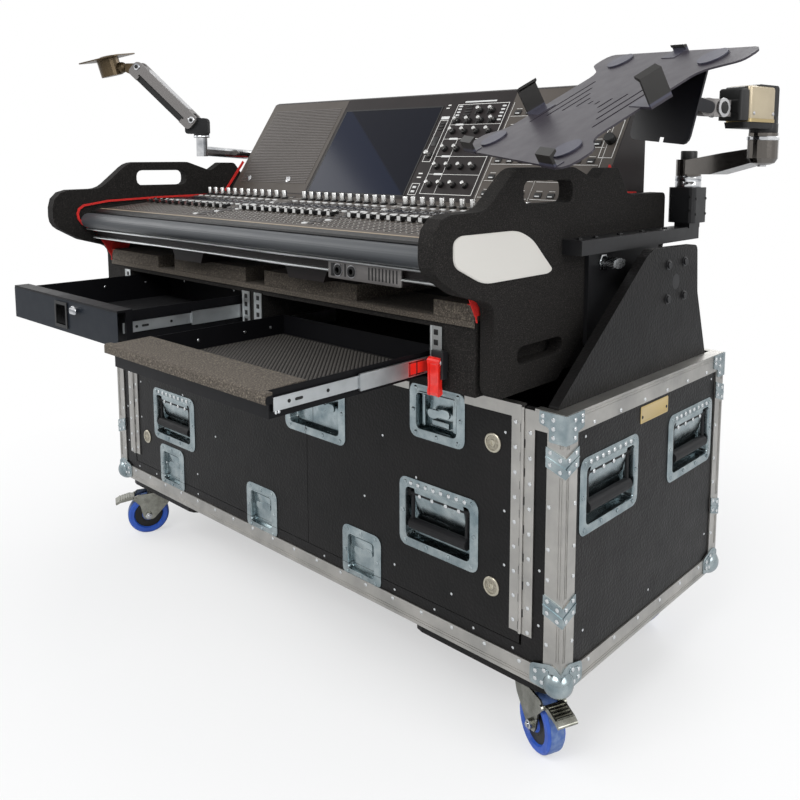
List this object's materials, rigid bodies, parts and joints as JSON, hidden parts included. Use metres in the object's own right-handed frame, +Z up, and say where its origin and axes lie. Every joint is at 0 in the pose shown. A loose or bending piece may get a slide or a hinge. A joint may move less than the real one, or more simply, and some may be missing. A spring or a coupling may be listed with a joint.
{
  "type": "mixing console flight case",
  "caption": "Wheeled front-door flight case with a tilting console on a pivoted cradle, pull-out drawers, a laptop tray arm and a screen arm.",
  "frame": {"origin": "middle of the flat underside of the case floor, above the floor by the height of the casters and their boards", "axes": "+X along the case from the left door's side to the right door's side, +Y from the doors to the back, +Z up"},
  "size_m": [1.7815, 0.965, 1.2594],
  "materials": {
    "aluminium": "brushed",
    "armrest": "grey-blue satin",
    "black_foam": "plywood under black foam",
    "black_steel": "black powder coat",
    "blue_tyre": "blue elastic tyre",
    "chrome": "polished",
    "console": "dark satin",
    "drawer_paint": "dark blue-black",
    "gold_plate": "dull brass colour",
    "grey_paint": "dark grey",
    "laminate": "textured black panels",
    "pad_foam": "speckled foam",
    "red_plastic": "red",
    "rubber": "matt black",
    "screen": "dark blue gloss",
    "tray_paint": "dark grey-blue",
    "zinc": "zinc plated steel"
  },
  "bodies": {
    "case": {"tub": "laminate", "edge_frame": "aluminium", "upright_left": "laminate", "upright_right": "laminate"},
    "door_left": {"door_left": "laminate", "door_trim_left": "aluminium"},
    "door_handle_left": {"door_handle_left": "rubber"},
    "end_handle_left_front": {"end_handle_left_front": "rubber"},
    "end_handle_left_rear": {"end_handle_left_rear": "rubber"},
    "door_right": {"door_right": "laminate", "door_trim_right": "aluminium"},
    "door_handle_right": {"door_handle_right": "rubber"},
    "end_handle_right_front": {"end_handle_right_front": "rubber"},
    "end_handle_right_rear": {"end_handle_right_rear": "rubber"},
    "bottom_latch_left": {"bottom_latch_left": "zinc"},
    "bottom_latch_middle": {"bottom_latch_middle": "zinc"},
    "bottom_latch_right": {"bottom_latch_right": "zinc"},
    "middle_latch": {"middle_latch": "zinc"},
    "top_latch_left": {"top_latch_left": "zinc"},
    "top_latch_right": {"top_latch_right": "zinc"},
    "caster_fork_front_left": {"caster_fork_front_left": "zinc"},
    "caster_wheel_front_left": {"caster_wheel_front_left": "blue_tyre"},
    "brake_pedal_front_left": {"brake_pedal_front_left": "zinc"},
    "caster_fork_front_right": {"caster_fork_front_right": "zinc"},
    "caster_wheel_front_right": {"caster_wheel_front_right": "blue_tyre"},
    "brake_pedal_front_right": {"brake_pedal_front_right": "zinc"},
    "caster_fork_rear_left": {"caster_fork_rear_left": "zinc"},
    "caster_wheel_rear_left": {"caster_wheel_rear_left": "blue_tyre"},
    "brake_pedal_rear_left": {"brake_pedal_rear_left": "zinc"},
    "caster_fork_rear_right": {"caster_fork_rear_right": "zinc"},
    "caster_wheel_rear_right": {"caster_wheel_rear_right": "blue_tyre"},
    "brake_pedal_rear_right": {"brake_pedal_rear_right": "zinc"},
    "cradle": {"cheek_left": "black_foam", "cheek_right": "black_foam", "side_bracket_left": "black_steel", "side_bracket_right": "black_steel", "drawer_cabinet": "black_foam", "foam_pad_left": "pad_foam", "foam_pad_right": "pad_foam", "console_body": "console", "screen": "screen", "armrest": "armrest"},
    "flip_lock_left": {"flip_lock_left": "zinc"},
    "flip_lock_right": {"flip_lock_right": "zinc"},
    "drawer_left": {"drawer_left": "drawer_paint"},
    "drawer_right": {"drawer_right": "drawer_paint"},
    "runners_left": {"slide_left_inner": "zinc", "slide_left_outer": "zinc"},
    "runners_right": {"slide_right_inner": "zinc", "slide_right_outer": "zinc"},
    "drawer_latch_paddle": {"drawer_latch_paddle": "rubber"},
    "drawer_lock_lever": {"drawer_lock_lever": "red_plastic"},
    "right_arm_link": {"right_arm_link": "black_steel"},
    "right_arm_upper": {"right_arm_upper": "gold_plate"},
    "right_arm_head": {"right_arm_head": "grey_paint"},
    "laptop_tray": {"laptop_tray": "tray_paint"},
    "left_arm_link": {"left_arm_link": "chrome"},
    "left_arm_elbow": {"left_arm_elbow": "rubber"},
    "left_arm_upper": {"left_arm_upper": "grey_paint"},
    "screen_plate_head": {"screen_plate_head": "gold_plate"}
  },
  "joints": [
    {"name": "door_left_hinge", "type": "hinge", "parent": "case", "child": "door_left", "pos_m": [-0.6195, -0.2852, 0], "axis": [0, 0, -1], "range_deg": [0, 175]},
    {"name": "door_handle_left_swing", "type": "hinge", "parent": "door_left", "child": "door_handle_left", "pos_m": [-0.428, -0.2772, 0.239], "axis": [-1, 0, 0], "range_deg": [0, 85], "stiffness_Nm_per_rad": 0.3},
    {"name": "end_handle_left_front_swing", "type": "hinge", "parent": "case", "child": "end_handle_left_front", "pos_m": [-0.6922, -0.148, 0.341], "axis": [0, 1, 0], "range_deg": [0, 85], "stiffness_Nm_per_rad": 0.3},
    {"name": "end_handle_left_rear_swing", "type": "hinge", "parent": "case", "child": "end_handle_left_rear", "pos_m": [-0.6922, 0.148, 0.341], "axis": [0, 1, 0], "range_deg": [0, 85], "stiffness_Nm_per_rad": 0.3},
    {"name": "door_right_hinge", "type": "hinge", "parent": "case", "child": "door_right", "pos_m": [0.6195, -0.2852, 0], "axis": [0, 0, 1], "range_deg": [0, 175]},
    {"name": "door_handle_right_swing", "type": "hinge", "parent": "door_right", "child": "door_handle_right", "pos_m": [0.437, -0.2772, 0.239], "axis": [-1, 0, 0], "range_deg": [0, 85], "stiffness_Nm_per_rad": 0.3},
    {"name": "end_handle_right_front_swing", "type": "hinge", "parent": "case", "child": "end_handle_right_front", "pos_m": [0.6922, -0.148, 0.341], "axis": [0, -1, 0], "range_deg": [0, 85], "stiffness_Nm_per_rad": 0.3},
    {"name": "end_handle_right_rear_swing", "type": "hinge", "parent": "case", "child": "end_handle_right_rear", "pos_m": [0.6922, 0.148, 0.341], "axis": [0, -1, 0], "range_deg": [0, 85], "stiffness_Nm_per_rad": 0.3},
    {"name": "bottom_latch_left_turn", "type": "hinge", "parent": "door_left", "child": "bottom_latch_left", "pos_m": [-0.442, -0.2787, 0.0835], "axis": [0, -1, 0], "range_deg": [0, 180]},
    {"name": "bottom_latch_middle_turn", "type": "hinge", "parent": "door_left", "child": "bottom_latch_middle", "pos_m": [-0.0772, -0.2787, 0.0835], "axis": [0, -1, 0], "range_deg": [0, 180]},
    {"name": "bottom_latch_right_turn", "type": "hinge", "parent": "door_right", "child": "bottom_latch_right", "pos_m": [0.2408, -0.2787, 0.0835], "axis": [0, -1, 0], "range_deg": [0, 180]},
    {"name": "middle_latch_turn", "type": "hinge", "parent": "door_right", "child": "middle_latch", "pos_m": [0.1348, -0.2787, 0.347], "axis": [0, -1, 0], "range_deg": [0, 180]},
    {"name": "top_latch_left_turn", "type": "hinge", "parent": "door_left", "child": "top_latch_left", "pos_m": [-0.4345, -0.2787, 0.3974], "axis": [0, -1, 0], "range_deg": [0, 180]},
    {"name": "top_latch_right_turn", "type": "hinge", "parent": "door_right", "child": "top_latch_right", "pos_m": [0.4345, -0.2787, 0.3974], "axis": [0, -1, 0], "range_deg": [0, 180]},
    {"name": "caster_swivel_front_left", "type": "hinge", "parent": "case", "child": "caster_fork_front_left", "pos_m": [-0.6, -0.223, -0.0264], "axis": [0, 0, 1], "continuous": true},
    {"name": "caster_spin_front_left", "type": "hinge", "parent": "caster_fork_front_left", "child": "caster_wheel_front_left", "pos_m": [-0.61648, -0.25724, -0.0961], "axis": [0.9011, -0.4337, 0], "continuous": true},
    {"name": "brake_pedal_lift_front_left", "type": "hinge", "parent": "caster_fork_front_left", "child": "brake_pedal_front_left", "pos_m": [-0.63036, -0.28608, -0.0484], "axis": [-0.9011, 0.4337, 0], "range_deg": [0, 18]},
    {"name": "caster_swivel_front_right", "type": "hinge", "parent": "case", "child": "caster_fork_front_right", "pos_m": [0.6, -0.223, -0.0264], "axis": [0, 0, 1], "continuous": true},
    {"name": "caster_spin_front_right", "type": "hinge", "parent": "caster_fork_front_right", "child": "caster_wheel_front_right", "pos_m": [0.63472, -0.23846, -0.0961], "axis": [0.4067, 0.9135, 0], "continuous": true},
    {"name": "brake_pedal_lift_front_right", "type": "hinge", "parent": "caster_fork_front_right", "child": "brake_pedal_front_right", "pos_m": [0.66395, -0.25147, -0.0484], "axis": [-0.4067, -0.9135, 0], "range_deg": [0, 18]},
    {"name": "caster_swivel_rear_left", "type": "hinge", "parent": "case", "child": "caster_fork_rear_left", "pos_m": [-0.6, 0.223, -0.0264], "axis": [0, 0, 1], "continuous": true},
    {"name": "caster_spin_rear_left", "type": "hinge", "parent": "caster_fork_rear_left", "child": "caster_wheel_rear_left", "pos_m": [-0.63571, 0.236, -0.0961], "axis": [-0.342, -0.9397, 0], "continuous": true},
    {"name": "brake_pedal_lift_rear_left", "type": "hinge", "parent": "caster_fork_rear_left", "child": "brake_pedal_rear_left", "pos_m": [-0.66578, 0.24694, -0.0484], "axis": [0.342, 0.9397, 0], "range_deg": [0, 18]},
    {"name": "caster_swivel_rear_right", "type": "hinge", "parent": "case", "child": "caster_fork_rear_right", "pos_m": [0.6, 0.223, -0.0264], "axis": [0, 0, 1], "continuous": true},
    {"name": "caster_spin_rear_right", "type": "hinge", "parent": "caster_fork_rear_right", "child": "caster_wheel_rear_right", "pos_m": [0.562, 0.223, -0.0961], "axis": [0, -1, 0], "continuous": true},
    {"name": "brake_pedal_lift_rear_right", "type": "hinge", "parent": "caster_fork_rear_right", "child": "brake_pedal_rear_right", "pos_m": [0.53, 0.223, -0.0484], "axis": [0, 1, 0], "range_deg": [0, 18]},
    {"name": "cradle_flip", "type": "hinge", "parent": "case", "child": "cradle", "pos_m": [0, 0.1115, 0.6112], "axis": [-1, 0, 0], "range_deg": [0, 10]},
    {"name": "flip_lock_left_turn", "type": "hinge", "parent": "cradle", "child": "flip_lock_left", "pos_m": [-0.6144, -0.049, 0.6572], "axis": [-1, 0, 0], "range_deg": [0, 90]},
    {"name": "flip_lock_right_turn", "type": "hinge", "parent": "cradle", "child": "flip_lock_right", "pos_m": [0.6144, -0.049, 0.6572], "axis": [1, 0, 0], "range_deg": [0, 90]},
    {"name": "drawer_left_slide", "type": "slide", "parent": "cradle", "child": "drawer_left", "axis": [0, 1, 0], "range_m": [-0.06, 0.236]},
    {"name": "drawer_right_slide", "type": "slide", "parent": "cradle", "child": "drawer_right", "axis": [0, 1, 0], "range_m": [-0.01, 0.31]},
    {"name": "runners_left_slide", "type": "slide", "parent": "cradle", "child": "runners_left", "axis": [0, 1, 0], "range_m": [-0.03, 0.118]},
    {"name": "runners_right_slide", "type": "slide", "parent": "cradle", "child": "runners_right", "axis": [0, 1, 0], "range_m": [-0.005, 0.155]},
    {"name": "drawer_latch_lift", "type": "hinge", "parent": "drawer_left", "child": "drawer_latch_paddle", "pos_m": [-0.2565, -0.591, 0.5464], "axis": [-1, 0, 0], "range_deg": [0, 30]},
    {"name": "drawer_lock_swing", "type": "hinge", "parent": "cradle", "child": "drawer_lock_lever", "pos_m": [0.501, -0.3577, 0.5162], "axis": [-1, 0, 0], "range_deg": [0, 60]},
    {"name": "right_arm_base_swing", "type": "hinge", "parent": "cradle", "child": "right_arm_link", "pos_m": [0.63, 0.24, 0.804], "axis": [0, 0, 1], "range_deg": [0, 30]},
    {"name": "right_arm_elbow_swing", "type": "hinge", "parent": "right_arm_link", "child": "right_arm_upper", "pos_m": [0.828, 0.101, 0.8813], "axis": [0, 0, 1], "range_deg": [-8, 20]},
    {"name": "right_arm_head_roll", "type": "hinge", "parent": "right_arm_upper", "child": "right_arm_head", "pos_m": [0.795, -0.0614, 0.9179], "axis": [-0.1991, -0.98, 0], "range_deg": [-8, 4]},
    {"name": "laptop_tray_tilt", "type": "hinge", "parent": "right_arm_head", "child": "laptop_tray", "pos_m": [0.795, -0.0614, 0.9179], "axis": [0.8847, -0.4598, -0.077], "range_deg": [-24, 0]},
    {"name": "left_arm_base_swing", "type": "hinge", "parent": "cradle", "child": "left_arm_link", "pos_m": [-0.63, 0.24, 0.804], "axis": [0, 0, 1], "range_deg": [-45, 4]},
    {"name": "left_arm_elbow_swing", "type": "hinge", "parent": "left_arm_link", "child": "left_arm_elbow", "pos_m": [-0.592, -0.08, 0.8863], "axis": [0, 0, 1], "range_deg": [-30, 60]},
    {"name": "left_arm_lift", "type": "hinge", "parent": "left_arm_elbow", "child": "left_arm_upper", "pos_m": [-0.60855, -0.09123, 0.9318], "axis": [-0.5616, 0.8274, 0], "range_deg": [-25, 20]},
    {"name": "screen_plate_level", "type": "hinge", "parent": "left_arm_upper", "child": "screen_plate_head", "pos_m": [-0.729, -0.173, 1.0698], "axis": [-0.5616, 0.8274, 0], "range_deg": [-20, 25]}
  ],
  "couplings": [
    {"joint": "runners_left_slide", "follows": "drawer_left_slide", "ratio": 0.5},
    {"joint": "runners_right_slide", "follows": "drawer_right_slide", "ratio": 0.5},
    {"joint": "screen_plate_level", "follows": "left_arm_lift", "ratio": -1}
  ]
}
